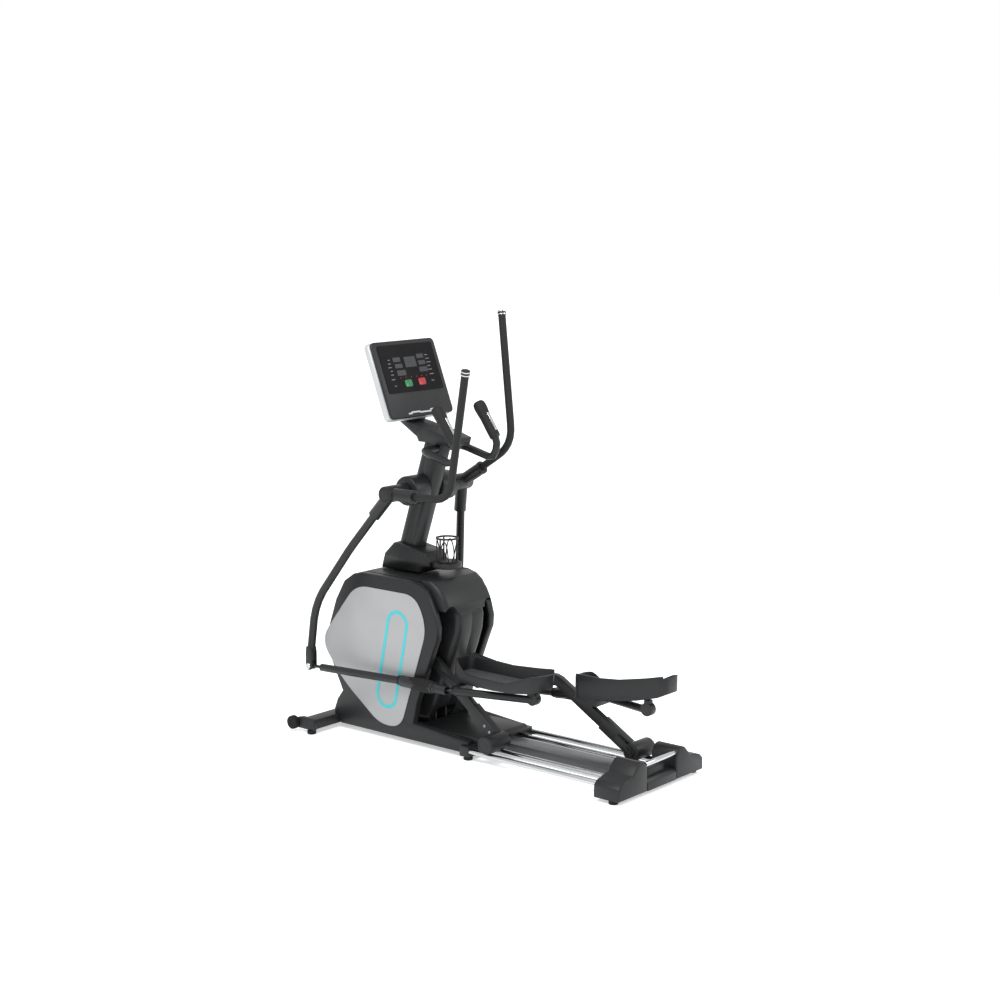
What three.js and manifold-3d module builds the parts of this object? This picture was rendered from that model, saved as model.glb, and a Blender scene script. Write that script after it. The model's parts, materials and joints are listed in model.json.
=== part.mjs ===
// Elliptical trainer: a front-driven cross trainer whose two pedal bars run on rear guide rails.
// Millimetres, +Z up. +X points to the rear (the user's back), -X to the console, -Y to the user's left.
// The origin is on the floor, at the centre of the outline. Side views are given as [x, z] points.
import * as THREE from 'three';
import { mergeVertices } from 'three/addons/utils/BufferGeometryUtils.js';
import Module from 'manifold-3d';

const wasm = await Module();
wasm.setup();

// ---- driving dimensions -------------------------------------------------------------------

const FIT_GAP = 0.4;                                    // gap between pieces that touch
const DECK_TOP = 84;
const CRANK = { x: -478, z: 350, radius: 241, tilt: THREE.MathUtils.degToRad(14.4) };
const BAR_LENGTH = 903.6;                               // crank pin to roller axle
const AXLE_HEIGHT = 83;                                 // roller axle above the floor
const ROLLER_RADIUS = 32.2;
const RAIL = { radius: 12, z: 38.5, front: 40.4, rear: 729.6, planes: { inner: 117, outer: 194 } };
const REAR = { front: 730, end: 853, capInner: 97 };

// Points of the pedal bar, from its roller axle, drawn as the right bar rests.
const BAR_PIN = { x: -879.5, z: 207.1 };
const BAR_KNEE = { x: -384, z: 229 };
const LINK_PIVOT = { x: -243.2, z: 164.8 };
const KNOB = { x: 104, z: 205 };

const PIVOT = { x: -362, z: 1061 };                     // swing arms' pivot on the mast
const ARM_PIN = { x: -430, z: -782 };                   // lower pin of a swing arm, from the pivot
const ARM_KNEE = { x: -400, z: -506 };

const MAST = { slope: 0.328, halfDepth: 57.9, halfWidth: 38, top: 1261.6, bottom: 240 };
const COVER = { inner: 148, outer: 185 };               // |y| of the side covers
const SHROUD_HALF_WIDTH = 85;
const ROOF_UNDERSIDE = 645;
const CONSOLE = { x: -437, z: 1517, tilt: THREE.MathUtils.degToRad(21.2), halfWidth: 195, halfHeight: 168.5 };
const SIDES = { left: -1, right: 1 };

// ---- materials ----------------------------------------------------------------------------

function finish(color, roughness, metalness = 0) {
  return () => new THREE.MeshStandardMaterial({ color, roughness, metalness });
}
const charcoalPaint = finish(0x3c3d3f, 0.45, 0.3);
const charcoalPlastic = finish(0x37383a, 0.5);
const blackPlastic = finish(0x1c1c1e, 0.55);
const blackRubber = finish(0x151516, 0.85);
const greyPaint = finish(0x8b8d8f, 0.5, 0.2);
const panelGrey = finish(0xa9abad, 0.4);
const chrome = finish(0xd9dcdf, 0.12, 1);
const silverPlastic = finish(0xc9cdd1, 0.35, 0.2);
const screenGlass = finish(0x101113, 0.08);
const steel = finish(0x9a9da0, 0.4, 0.9);

// ---- shape helpers ------------------------------------------------------------------------

function signedVolume(geometry) {
  const flat = geometry.index ? geometry.toNonIndexed() : geometry;
  const p = flat.attributes.position;
  const [a, b, c] = [new THREE.Vector3(), new THREE.Vector3(), new THREE.Vector3()];
  let volume = 0;
  for (let i = 0; i < p.count; i += 3) {
    a.fromBufferAttribute(p, i);
    b.fromBufferAttribute(p, i + 1);
    c.fromBufferAttribute(p, i + 2);
    volume += a.dot(b.cross(c)) / 6;
  }
  return volume;
}

// Turns the triangles of a closed shape over when they face inwards.
function facingOut(geometry) {
  if (signedVolume(geometry) > 0) return geometry;
  const flat = geometry.index ? geometry.toNonIndexed() : geometry;
  const p = flat.attributes.position;
  for (let i = 0; i < p.count; i += 3) {
    const [x, y, z] = [p.getX(i), p.getY(i), p.getZ(i)];
    p.setXYZ(i, p.getX(i + 1), p.getY(i + 1), p.getZ(i + 1));
    p.setXYZ(i + 1, x, y, z);
  }
  return flat;
}

function toSolid(geometry) {
  const bare = new THREE.BufferGeometry();
  const source = facingOut(geometry);
  bare.setAttribute('position', source.attributes.position.clone());
  if (source.index) bare.setIndex(source.index.clone());
  const merged = mergeVertices(bare, 1e-3);
  return new wasm.Manifold(new wasm.Mesh({
    numProp: 3,
    vertProperties: new Float32Array(merged.attributes.position.array),
    triVerts: new Uint32Array(merged.index.array),
  }));
}

function toGeometry(solid) {
  const mesh = solid.getMesh();
  const geometry = new THREE.BufferGeometry();
  geometry.setAttribute('position', new THREE.BufferAttribute(new Float32Array(mesh.vertProperties), 3));
  geometry.setIndex(new THREE.BufferAttribute(new Uint32Array(mesh.triVerts), 1));
  return geometry;
}

function join(...geometries) {
  return toGeometry(geometries.map(toSolid).reduce((all, next) => all.add(next)));
}

function cut(body, ...tools) {
  return toGeometry(tools.map(toSolid).reduce((rest, tool) => rest.subtract(tool), toSolid(body)));
}

function box(x0, x1, y0, y1, z0, z1) {
  const geometry = new THREE.BoxGeometry(x1 - x0, y1 - y0, z1 - z0);
  return geometry.translate((x0 + x1) / 2, (y0 + y1) / 2, (z0 + z1) / 2);
}

function rod(from, to, radius, sides = 16) {
  const start = new THREE.Vector3(...from);
  const along = new THREE.Vector3(...to).sub(start);
  const geometry = new THREE.CylinderGeometry(radius, radius, along.length(), sides);
  const turn = new THREE.Quaternion().setFromUnitVectors(new THREE.Vector3(0, 1, 0), along.clone().normalize());
  return geometry.applyQuaternion(turn).translate(...start.add(along.multiplyScalar(0.5)).toArray());
}

function outline(points) {
  return new THREE.Shape(points.map(([a, b]) => new THREE.Vector2(a, b)));
}

// Extrudes a side-view outline of [x, z] points from y0 to y1, with an optional rounded edge.
function sidePlate(points, y0, y1, edge = 0, edgeSteps = 2) {
  const geometry = new THREE.ExtrudeGeometry(outline(points), {
    depth: y1 - y0 - 2 * edge,
    bevelEnabled: edge > 0,
    bevelThickness: edge,
    bevelSize: edge,
    bevelOffset: -edge,
    bevelSegments: edgeSteps,
  });
  const toSide = new THREE.Matrix4().makeBasis(
    new THREE.Vector3(1, 0, 0), new THREE.Vector3(0, 0, 1), new THREE.Vector3(0, -1, 0));
  return geometry.applyMatrix4(toSide).translate(0, y1 - edge, 0);
}

// Extrudes a front-view outline of [y, z] points from x0 to x1.
function frontPlate(points, x0, x1, edge = 0) {
  const geometry = new THREE.ExtrudeGeometry(outline(points), {
    depth: x1 - x0 - 2 * edge,
    bevelEnabled: edge > 0,
    bevelThickness: edge,
    bevelSize: edge,
    bevelOffset: -edge,
    bevelSegments: 2,
  });
  const toFront = new THREE.Matrix4().makeBasis(
    new THREE.Vector3(0, 1, 0), new THREE.Vector3(0, 0, 1), new THREE.Vector3(1, 0, 0));
  return geometry.applyMatrix4(toFront).translate(x0 + edge, 0, 0);
}

function arc(cx, cy, radiusX, radiusY, fromDeg, toDeg, steps) {
  return Array.from({ length: steps + 1 }, (_, i) => {
    const angle = THREE.MathUtils.degToRad(fromDeg + ((toDeg - fromDeg) * i) / steps);
    return [cx + radiusX * Math.cos(angle), cy + radiusY * Math.sin(angle)];
  });
}

function roundedRectangle(halfA, halfB, radius, steps = 3) {
  return [
    ...arc(halfA - radius, halfB - radius, radius, radius, 0, 90, steps),
    ...arc(-halfA + radius, halfB - radius, radius, radius, 90, 180, steps),
    ...arc(-halfA + radius, -halfB + radius, radius, radius, 180, 270, steps),
    ...arc(halfA - radius, -halfB + radius, radius, radius, 270, 360, steps),
  ];
}

// Moves each side of a counter-clockwise outline inwards by a distance.
function inset(points, distance) {
  const count = points.length;
  const normals = points.map(([ax, ay], i) => {
    const [bx, by] = points[(i + 1) % count];
    const length = Math.hypot(bx - ax, by - ay);
    return [-(by - ay) / length, (bx - ax) / length];
  });
  return points.map(([x, y], i) => {
    const [px, py] = normals[(i + count - 1) % count];
    const [nx, ny] = normals[i];
    const spread = 1 + px * nx + py * ny;
    return [x + (distance * (px + nx)) / spread, y + (distance * (py + ny)) / spread];
  });
}

// Bends a round tube through the points, rounding each corner by its own distance.
function bentTube(points, radius, cornerReach, sides = 10, step = 45) {
  const corners = points.map((p) => new THREE.Vector3(...p));
  const path = new THREE.CurvePath();
  let start = corners[0];
  for (let i = 1; i < corners.length - 1; i += 1) {
    const corner = corners[i];
    const reach = Array.isArray(cornerReach) ? cornerReach[i - 1] : cornerReach;
    const before = corner.clone().add(corners[i - 1].clone().sub(corner).setLength(reach));
    const after = corner.clone().add(corners[i + 1].clone().sub(corner).setLength(reach));
    path.add(new THREE.LineCurve3(start, before));
    path.add(new THREE.QuadraticBezierCurve3(before, corner, after));
    start = after;
  }
  path.add(new THREE.LineCurve3(start, corners[corners.length - 1]));
  const ring = new THREE.Shape(arc(0, 0, radius, radius, 0, 360, sides).slice(0, -1)
    .map(([a, b]) => new THREE.Vector2(a, b)));
  return facingOut(new THREE.ExtrudeGeometry(ring, {
    steps: Math.round(path.getLength() / step),
    extrudePath: path,
    bevelEnabled: false,
  }));
}

function turned(profile, sides = 20) {
  return facingOut(new THREE.LatheGeometry(profile.map(([r, h]) => new THREE.Vector2(r, h)), sides));
}

function mirrored(geometry, side) {
  return side === SIDES.left ? geometry : facingOut(geometry.clone().scale(1, -1, 1));
}

// Builds a geometry for the left side, whose y is negative, and mirrors it for the right one.
function handed(buildLeft) {
  const left = buildLeft();
  return (side) => mirrored(left, side);
}

const trainer = new THREE.Group();

function place(parent, name, geometry, material) {
  const mesh = new THREE.Mesh(geometry, material());
  mesh.name = name;
  parent.add(mesh);
  return mesh;
}

function placeBothSides(parent, name, buildLeft, material) {
  const shape = handed(buildLeft);
  for (const [word, side] of Object.entries(SIDES)) place(parent, `${name}_${word}`, shape(side), material);
}

// ---- linkage ------------------------------------------------------------------------------

function turnedCcw(point, angle) {
  const [c, s] = [Math.cos(angle), Math.sin(angle)];
  return { x: point.x * c - point.z * s, z: point.x * s + point.z * c };
}

function plus(a, b) {
  return { x: a.x + b.x, z: a.z + b.z };
}

function bearing(from, to) {
  return Math.atan2(to.z - from.z, to.x - from.x);
}

function linkage(side) {
  const angle = side === SIDES.left ? Math.PI - CRANK.tilt : -CRANK.tilt;
  const pin = plus(CRANK, turnedCcw({ x: CRANK.radius, z: 0 }, angle));
  const axle = { x: pin.x + Math.sqrt(BAR_LENGTH ** 2 - (pin.z - AXLE_HEIGHT) ** 2), z: AXLE_HEIGHT };
  const barTurn = bearing(axle, pin) - bearing({ x: 0, z: 0 }, BAR_PIN);
  return { angle, pin, axle, barTurn, linkPivot: plus(axle, turnedCcw(LINK_PIVOT, barTurn)) };
}

// The left arm rests as drawn; the right arm's pin lies one link length from its bar's link pivot.
const left = linkage(SIDES.left);
const right = linkage(SIDES.right);
const LINK_LENGTH = Math.hypot(PIVOT.x + ARM_PIN.x - left.linkPivot.x, PIVOT.z + ARM_PIN.z - left.linkPivot.z);
left.armTurn = 0;
const armLength = Math.hypot(ARM_PIN.x, ARM_PIN.z);
const apart = Math.hypot(right.linkPivot.x - PIVOT.x, right.linkPivot.z - PIVOT.z);
const corner = Math.acos((armLength ** 2 + apart ** 2 - LINK_LENGTH ** 2) / (2 * armLength * apart));
right.armTurn = bearing(PIVOT, right.linkPivot) - corner - bearing({ x: 0, z: 0 }, ARM_PIN);
for (const half of [left, right]) {
  half.armPin = plus(PIVOT, turnedCcw(ARM_PIN, half.armTurn));
  half.linkAngle = bearing(half.linkPivot, half.armPin) - Math.PI;
}
const HALVES = { left, right };

function groupAt(point, turn = 0, y = 0) {
  const group = new THREE.Group();
  group.position.set(point.x, y, point.z);
  group.rotation.y = -turn;
  trainer.add(group);
  return group;
}

// ---- front stabiliser, end caps and transport wheels ----------------------------------------

const TRANSPORT = { x: -824, y: 352, z: 40, radius: 29 };
const beamSection = roundedRectangle(37, 21, 6).map(([x, z]) => [x - 754, z + 39]);
place(trainer, 'front_stabiliser', cut(
  sidePlate(beamSection, -318, 318), sidePlate(inset(beamSection, 3), -320, 320)), charcoalPaint);

placeBothSides(trainer, 'front_end_cap', () => join(
  sidePlate([[-713, 16], [-711, 56], [-730, 66], [-786, 68], [-826, 57], [-840, 44], [-836, 28], [-806, 16]],
    -340.6, -318.4, 4),
  rod([TRANSPORT.x, -361, TRANSPORT.z], [TRANSPORT.x, -338, TRANSPORT.z], 6, 12)), charcoalPlastic);

for (const [word, side] of Object.entries(SIDES)) {
  place(groupAt(TRANSPORT, 0, side * TRANSPORT.y), `transport_wheel_${word}`, cut(
    join(rod([0, -11, 0], [0, 11, 0], TRANSPORT.radius, 20)), rod([0, -12, 0], [0, 12, 0], 6.5, 12)),
  blackRubber);
}

// ---- base: spine with crank tower, deck, beam, rails, rear stabiliser, feet ------------------

const FLYWHEEL = { x: -325, z: 300, radius: 84 };
place(trainer, 'base_frame', cut(
  join(
    box(-716.6, 0, -48, 48, 24, 57.6),
    box(-8, 40, -206, 206, 16, 57.6),
    box(-512, -290, -36, -28, 57, 382),
    box(-512, -290, 28, 36, 57, 382),
    box(-512, -496, -36, 36, 57, 382),
    box(-655, -590, -36, 36, 57, MAST.bottom - FIT_GAP)),
  rod([CRANK.x, -50, CRANK.z], [CRANK.x, 50, CRANK.z], 12.5),
  rod([FLYWHEEL.x, -50, FLYWHEEL.z], [FLYWHEEL.x, 50, FLYWHEEL.z], 8.5),
  box(-720, -12, -44, 44, 28, 53)), charcoalPaint);

place(trainer, 'base_deck', join(
  box(-286, 48, -147.6, 147.6, 58, DECK_TOP),
  sidePlate([[47, 58], [62, 58], [62, 72], [56, 81], [47, DECK_TOP]], -147.6, 147.6)), charcoalPlastic);

place(trainer, 'centre_beam', cut(
  box(RAIL.front, RAIL.rear, -48, 48, 25, 57), box(RAIL.front - 5, RAIL.rear + 5, -45, 45, 28, 54)), greyPaint);
for (const [which, plane] of Object.entries(RAIL.planes)) {
  placeBothSides(trainer, `${which}_rail`, () => rod(
    [RAIL.front, -plane, RAIL.z], [RAIL.rear, -plane, RAIL.z], RAIL.radius), chrome);
}

const CARRY_ROD = { x: 838, z: 120, radius: 10.5 };
place(trainer, 'rear_stabiliser', join(
  sidePlate([[REAR.front, 15], [REAR.end, 15], [REAR.end, 48], [REAR.end - 12, 62], [REAR.front + 26, 65],
    [REAR.front, 52]], -96.6, 96.6),
  box(783, 823, -56, 56, 60, 90)), charcoalPlastic);
placeBothSides(trainer, 'rear_end_cap', () => frontPlate([
  [-283, 15], [-REAR.capInner, 15], [-REAR.capInner, 106], [-106, 126], [-122, 138], [-140, 141], [-156, 135],
  [-176, 116], [-192, 98], [-236, 88], [-264, 80], [-281, 64],
], REAR.front, REAR.end, 6), charcoalPlastic);
place(trainer, 'carry_rod', rod(
  [CARRY_ROD.x, -96.6, CARRY_ROD.z], [CARRY_ROD.x, 96.6, CARRY_ROD.z], CARRY_ROD.radius), chrome);

const FOOT_SPOTS = { front: [-735, 330, 15.6], middle: [20, 184, 15.6], rear: [812, 262, 14.6] };
for (const [which, [x, y, top]] of Object.entries(FOOT_SPOTS)) {
  placeBothSides(trainer, `${which}_foot`, () => rod([x, -y, 0], [x, -y, top], 19), blackRubber);
}

// ---- housing --------------------------------------------------------------------------------

// Side view of the housing: bottom, sill, rear edge, roof, nose and lower front.
const SILL = [[-703, 20], [10, 20], [22, 34], [23, 52], [15, 72], [-284, 96]];
const REAR_EDGE = [[-263, 186], [-192, 367], [-176, 408], [-150, 470], [-146, 518], [-160, 570], [-187, 625],
  [-212, 664], [-246, 688]];
const ROOF = [[-292, 700], [-571, 700], [-622, 688], [-675, 652], [-726, 565]];
const NOSE = [[-785, 400], [-791, 373], [-784, 345], [-694, 168], [-725, 127], [-744, 79], [-742, 55]];
const HOUSING = [...SILL, ...REAR_EDGE, ...ROOF, ...NOSE];
placeBothSides(trainer, 'side_cover', () => cut(
  sidePlate(HOUSING, -COVER.outer, -COVER.inner, 8),
  sidePlate(inset(HOUSING, 14), -COVER.outer + 6, -COVER.inner + 1),
  box(-8.4, 40.4, -210, -100, 10, 58), box(-800, -716.4, -210, -100, 10, 60.5)), charcoalPlastic);

// Grey insert on each cover.
const PANEL_CORNERS = [
  [-470, 60, 58], [-350, 66, 58], [-201, 512, 66], [-260, 643, 68], [-604, 643, 70], [-816, 376, 76],
  [-690, 222, 80],
];
function roundedOutline(corners, steps = 6) {
  return corners.flatMap(([x, z, reach], i) => {
    const at = new THREE.Vector2(x, z);
    const neighbour = (step) => {
      const [nx, nz] = corners[(i + step + corners.length) % corners.length];
      return at.clone().add(new THREE.Vector2(nx, nz).sub(at).setLength(reach));
    };
    const bend = new THREE.QuadraticBezierCurve(neighbour(-1), at, neighbour(1));
    return bend.getPoints(steps).map((p) => [p.x, p.y]);
  });
}
placeBothSides(trainer, 'side_panel', () => sidePlate(roundedOutline(PANEL_CORNERS), -188.4, -185.4), panelGrey);

// Sheet between the side covers over the roof and the nose.
// Its brow comes down behind the drive in one crowned sweep, and arches over the two slots.
const CROWN = 24;
const BROW_FRONT = -268;
const BROW_BOTTOM = 572;
const SLOT_CENTRES = [-116.3, 116.3];
const BROW = [[-300, BROW_BOTTOM], [-119, BROW_BOTTOM], [-128, 606], [-148, 644], [-178, 680], [-214, 706],
  [-250, 724], [-300, 724]];
const BROW_ROOM = [[-300, 614], [-160, 614], [-178, 636], [-204, 662], [-232, 682], [-262, 692], [-300, 692]];
const wrapOuter = [...ROOF, ...NOSE.slice(0, 4)];
const wrapInner = inset(HOUSING, 7).slice(SILL.length + REAR_EDGE.length, -3);
place(trainer, 'wrap_cover', cut(
  join(
    sidePlate([[-260, 692.5], [-260, 700], ...wrapOuter, ...wrapInner.toReversed().slice(0, -1)], -147.6, 147.6),
    cut(
      sidePlate(BROW, -147.6, 147.6, CROWN, 4),
      box(-400, 0, -200, 200, 700, 800),
      box(-400, BROW_FRONT, -200, 200, 500, 800),
      sidePlate(BROW_ROOM, -134, 134),
      ...SLOT_CENTRES.map((y) => rod([-400, y, BROW_BOTTOM], [0, y, BROW_BOTTOM], 31.2, 24)))),
  box(-562, -418, -42, 42, 600, 720)), charcoalPlastic);

// The centre shroud: two pans, open towards each other, around the drive and the mast foot.
// Its rear is crowned, so the outline at the seam stands proud of the outline at the slots.
const SHROUD = [[-286, 84.4], [-243, 160], [-171, 340], [-143, 408], [-119, 484], [-113, 545], [-128, 606],
  [-158, 644.6], [-655, 644.6], [-706, 565], [-766, 395], [-768, 373], [-676, 186], [-706, 122], [-712, 84.4]];
placeBothSides(trainer, 'shroud', () => cut(
  sidePlate(SHROUD, -SHROUD_HALF_WIDTH, SHROUD_HALF_WIDTH, CROWN, 4),
  box(-900, 0, -0.2, 100, 0, 800),
  box(-900, 0, -100, 100, 60, DECK_TOP + FIT_GAP),
  box(-900, 0, -100, 100, ROOF_UNDERSIDE - FIT_GAP, 700),
  box(BROW_FRONT - FIT_GAP, 0, -100, 100, BROW_BOTTOM - FIT_GAP, 700),
  sidePlate([...inset(SHROUD, CROWN + 4).slice(1, -1), [-690, 20], [-310, 20]], -SHROUD_HALF_WIDTH + 5, 5),
  sidePlate([...inset(SHROUD, 6).slice(1, -1), [-706, 20], [-292, 20]], -SHROUD_HALF_WIDTH + CROWN + 2, 5),
  box(-600, -380, -42, 5, 600, 660),
  rod([CRANK.x, -100, CRANK.z], [CRANK.x, -50, CRANK.z], 18)), charcoalPlastic);

// ---- drive ----------------------------------------------------------------------------------

const PULLEY_RADIUS = 118;
const SMALL_PULLEY_RADIUS = 20;
function crankArm(side) {
  const [y0, y1] = side === SIDES.left ? [-102.5, -87] : [87, 102.5];
  const tip = side === SIDES.left ? CRANK.radius : -CRANK.radius;
  return join(rod([0, y0, 0], [0, y1, 0], 26), rod([tip, y0, 0], [tip, y1, 0], 20),
    box(Math.min(0, tip), Math.max(0, tip), y0, y1, -19, 19));
}
place(groupAt(CRANK, left.angle), 'crank', join(
  rod([0, -88, 0], [0, 88, 0], 12),
  cut(rod([0, 44, 0], [0, 58, 0], PULLEY_RADIUS, 24), rod([0, 43, 0], [0, 49, 0], PULLEY_RADIUS - 14, 24),
    rod([0, 53, 0], [0, 59, 0], PULLEY_RADIUS - 14, 24)),
  rod([0, 40, 0], [0, 62, 0], 26), crankArm(SIDES.left), crankArm(SIDES.right)), steel);
place(groupAt(FLYWHEEL), 'flywheel', join(
  cut(rod([0, -18, 0], [0, 18, 0], FLYWHEEL.radius, 24), rod([0, -19, 0], [0, -6, 0], FLYWHEEL.radius - 18, 24),
    rod([0, 6, 0], [0, 19, 0], FLYWHEEL.radius - 18, 24)),
  rod([0, -44, 0], [0, 60, 0], 8), rod([0, 44, 0], [0, 58, 0], SMALL_PULLEY_RADIUS)), steel);

// ---- mast, its base cover and the bottle cage -------------------------------------------------

function mastX(z) {
  return PIVOT.x + MAST.slope * (z - PIVOT.z);
}

// A leaning post of rounded section; it is sheared level at both ends.
function mastPost(grow, z0, z1) {
  const section = roundedRectangle(MAST.halfDepth + grow, MAST.halfWidth + grow, 30 + grow, 3);
  const post = new THREE.ExtrudeGeometry(outline(section), { depth: z1 - z0, bevelEnabled: false });
  const lean = new THREE.Matrix4().set(1, 0, MAST.slope, mastX(z0), 0, 1, 0, 0, 0, 0, 1, z0, 0, 0, 0, 1);
  return post.applyMatrix4(lean);
}
const BAR_CROSS = { x: -276, z: 1236, radius: 16 };
place(trainer, 'mast', cut(mastPost(0, MAST.bottom, MAST.top), mastPost(-4, MAST.bottom - 5, MAST.top + 5),
  rod([PIVOT.x, -60, PIVOT.z], [PIVOT.x, 60, PIVOT.z], 13.2, 12),
  rod([BAR_CROSS.x, -60, BAR_CROSS.z], [BAR_CROSS.x, 60, BAR_CROSS.z], BAR_CROSS.radius + 1)), charcoalPaint);

const PLATFORM = { x: -252, radius: 62, bottom: 735, top: 758 };
place(trainer, 'mast_base_cover', cut(
  join(
    sidePlate([[-572, 703.6], [-552, 770], [-500, 820], [-470, 822], [-322, 796], [-300, 758],
      [-300, 735], [-336, 730], [-352, 703.6]], -65, 65, 10),
    rod([PLATFORM.x, 0, PLATFORM.bottom], [PLATFORM.x, 0, PLATFORM.top], PLATFORM.radius, 24)),
  mastPost(FIT_GAP, 690, 840)), charcoalPlastic);

const cageTube = turned([[41, 856], [48, 856], [48, 863], [41, 863], [41, 856]], 20);
const cage = [
  rod([0, 0, PLATFORM.top + FIT_GAP], [0, 0, PLATFORM.top + 6], 45, 20),
  cageTube.applyMatrix4(new THREE.Matrix4().makeRotationX(Math.PI / 2)),
  ...[30, 150, 270].map((degrees) => {
    const a = THREE.MathUtils.degToRad(degrees);
    const foot = [43 * Math.cos(a), 43 * Math.sin(a)];
    return rod([...foot, PLATFORM.top + 3], [...foot, 860], 3.5, 8);
  }),
];
place(trainer, 'bottle_cage', join(...cage).translate(PLATFORM.x, 0, 0), blackPlastic);

// ---- pivot and swing arms ---------------------------------------------------------------------

place(trainer, 'pivot_shaft', rod([PIVOT.x, -249, PIVOT.z], [PIVOT.x, 249, PIVOT.z], 12.5, 12), steel);
placeBothSides(trainer, 'pivot_cover', () => cut(
  rod([PIVOT.x, -132, PIVOT.z], [PIVOT.x, -MAST.halfWidth - FIT_GAP, PIVOT.z], 62, 24),
  rod([PIVOT.x, -140, PIVOT.z], [PIVOT.x, -30, PIVOT.z], 13.2, 12)), charcoalPlastic);

const handArm = handed(() => join(cut(
  join(
    rod([0, -258, 0], [0, -140, 0], 35, 20),
    rod([0, -222, 0], [135, -224.95, 0], 27, 16),
    rod([0, -222, 0], [-85.3, -232, -98.1], 26, 16)),
  rod([0, -250, 0], [0, -130, 0], 13.2, 12),
  rod([60, -222.95, 0], [140, -225.08, 0], 18.2, 12)),
  bentTube([[-44, -227.2, -50.6], [-207, -255, -251], [ARM_KNEE.x, -270, ARM_KNEE.z],
    [ARM_PIN.x + 1, -270, ARM_PIN.z + 70]], 17.5, [60, 90], 12, 45),
  cut(sidePlate([...arc(ARM_PIN.x, ARM_PIN.z, 19, 19, 180, 360, 6), [ARM_PIN.x + 19, ARM_PIN.z + 60],
    [ARM_PIN.x + 15, ARM_PIN.z + 84], [ARM_PIN.x - 15, ARM_PIN.z + 84], [ARM_PIN.x - 19, ARM_PIN.z + 60]],
  -288, -252, 5),
    box(ARM_PIN.x - 30, ARM_PIN.x + 30, -280, -260, ARM_PIN.z - 30, ARM_PIN.z + 62))));
const handHandle = handed(() => join(
  bentTube([[62, -223, 0], [325, -230, 6], [495, -326, 532]], 16, [85], 12, 28),
  rod([493, -325, 526], [499, -328.2, 545], 18, 12)));
for (const [word, side] of Object.entries(SIDES)) {
  const arm = groupAt(PIVOT, HALVES[word].armTurn);
  place(arm, `swing_arm_${word}`, handArm(side), charcoalPaint);
  place(arm, `moving_handle_${word}`, handHandle(side), blackRubber);
}

// ---- links, pedal bars, pedals and roller carriages ---------------------------------------------

// A link runs forward from its pivot on the pedal bar; its eye sits in the swing arm's fork.
const handLink = handed(() => cut(
  join(
    rod([-LINK_LENGTH, -277, 0], [-LINK_LENGTH, -263, 0], 17, 24),
    bentTube([[-LINK_LENGTH + 8, -270, 0], [-LINK_LENGTH + 70, -270, 0], [-248, -215, 0], [-200, -215, 0]],
      7, [30, 20], 8, 110),
    bentTube([[-LINK_LENGTH + 60, -268, 0], [-248, -215, 0], [-225, -215, 0]], 16.5, [16], 12, 150),
    rod([-228, -215, 0], [-50, -215, 0], 24, 12),
    rod([-54, -215, 0], [21, -215, 0], 19.5, 14)),
  rod([-LINK_LENGTH, -280, 0], [-LINK_LENGTH, -260, 0], 8, 16),
  rod([-12, -215, 0], [30, -215, 0], 15, 20)));

const along = Math.atan2(BAR_KNEE.z, BAR_KNEE.x);
const legPoint = (distance, lift) => {
  const p = turnedCcw({ x: distance, z: lift }, along);
  return [p.x, p.z];
};
const handBar = handed(() => cut(
  join(
    sidePlate([[BAR_PIN.x - 20, BAR_PIN.z - 23], [BAR_KNEE.x - 6, BAR_KNEE.z - 23], legPoint(60, 22),
      legPoint(60, -24), [BAR_KNEE.x + 18, BAR_KNEE.z + 14], [BAR_KNEE.x - 10, BAR_KNEE.z + 23],
      [BAR_PIN.x - 20, BAR_PIN.z + 23]], -129, -104),
    rod([BAR_PIN.x, -129, BAR_PIN.z], [BAR_PIN.x, -103.1, BAR_PIN.z], 22, 24),
    sidePlate([legPoint(180, 27), legPoint(25, 27), legPoint(25, -27), legPoint(180, -27)], -133, -100),
    sidePlate([legPoint(80, 18), legPoint(-14, 18), legPoint(-14, -18), legPoint(80, -18)], -91.5, -87.5),
    sidePlate([legPoint(90, 18), legPoint(45, 18), legPoint(45, -18), legPoint(90, -18)], -110, -87.5),
    sidePlate([[-250, 148], [-205, 120], [-205, 195.2], [-225, 192.5], [-250, 197.8]], -129, -104),
    box(KNOB.x - 12, KNOB.x + 12, -74, -48, KNOB.z, 242.4),
    rod([KNOB.x, -76, KNOB.z], [KNOB.x, -46, KNOB.z], 27, 24),
    rod([-200, -196.5, 169.5], [KNOB.x, -62, KNOB.z - 6], 16, 16),
    rod([LINK_PIVOT.x + 4, -215, LINK_PIVOT.z], [-204, -199, 170], 6, 10),
    sidePlate([[-218, 158], [-186, 150], [-186, 190], [-218, 184]], -196, -104)),
  rod([0, -134, 0], [0, -92.5, 0], 39, 24),
  rod([0, -134, 0], [0, -80, 0], 8.6, 12)));

const planRound = (points, z0, z1) => new THREE.ExtrudeGeometry(outline(points), {
  depth: z1 - z0, bevelEnabled: false,
}).translate(0, 0, z0);
const PEDAL_PLAN = [
  ...arc(162, -75, 33, 33, 0, 90, 5), ...arc(-225, -75, 33, 33, 90, 180, 5),
  ...arc(-215, -119, 43, 43, 180, 270, 5), ...arc(145, -112, 50, 50, 270, 360, 5),
];
const TREAD = [[-245.4, 218], [28, 256], [186, 330]];
const UNDERSIDE = [[-258, 200], [-225, 193], [-150, 203], [-30, 217], [60, 234], [160, 262], [195, 280]];
const WALL_TOP = [[195, 348], [186, 352], [160, 346], [100, 331], [30, 316], [-30, 304], [-120, 295], [-240, 294],
  [-258, 286]];
const LOW_WALL_TOP = [[195, 338], [186, 341], [150, 330], [100, 305], [30, 268], [-30, 258], [-100, 248],
  [-160, 243], [-195, 247], [-222, 268], [-240, 280], [-258, 282]];
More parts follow.
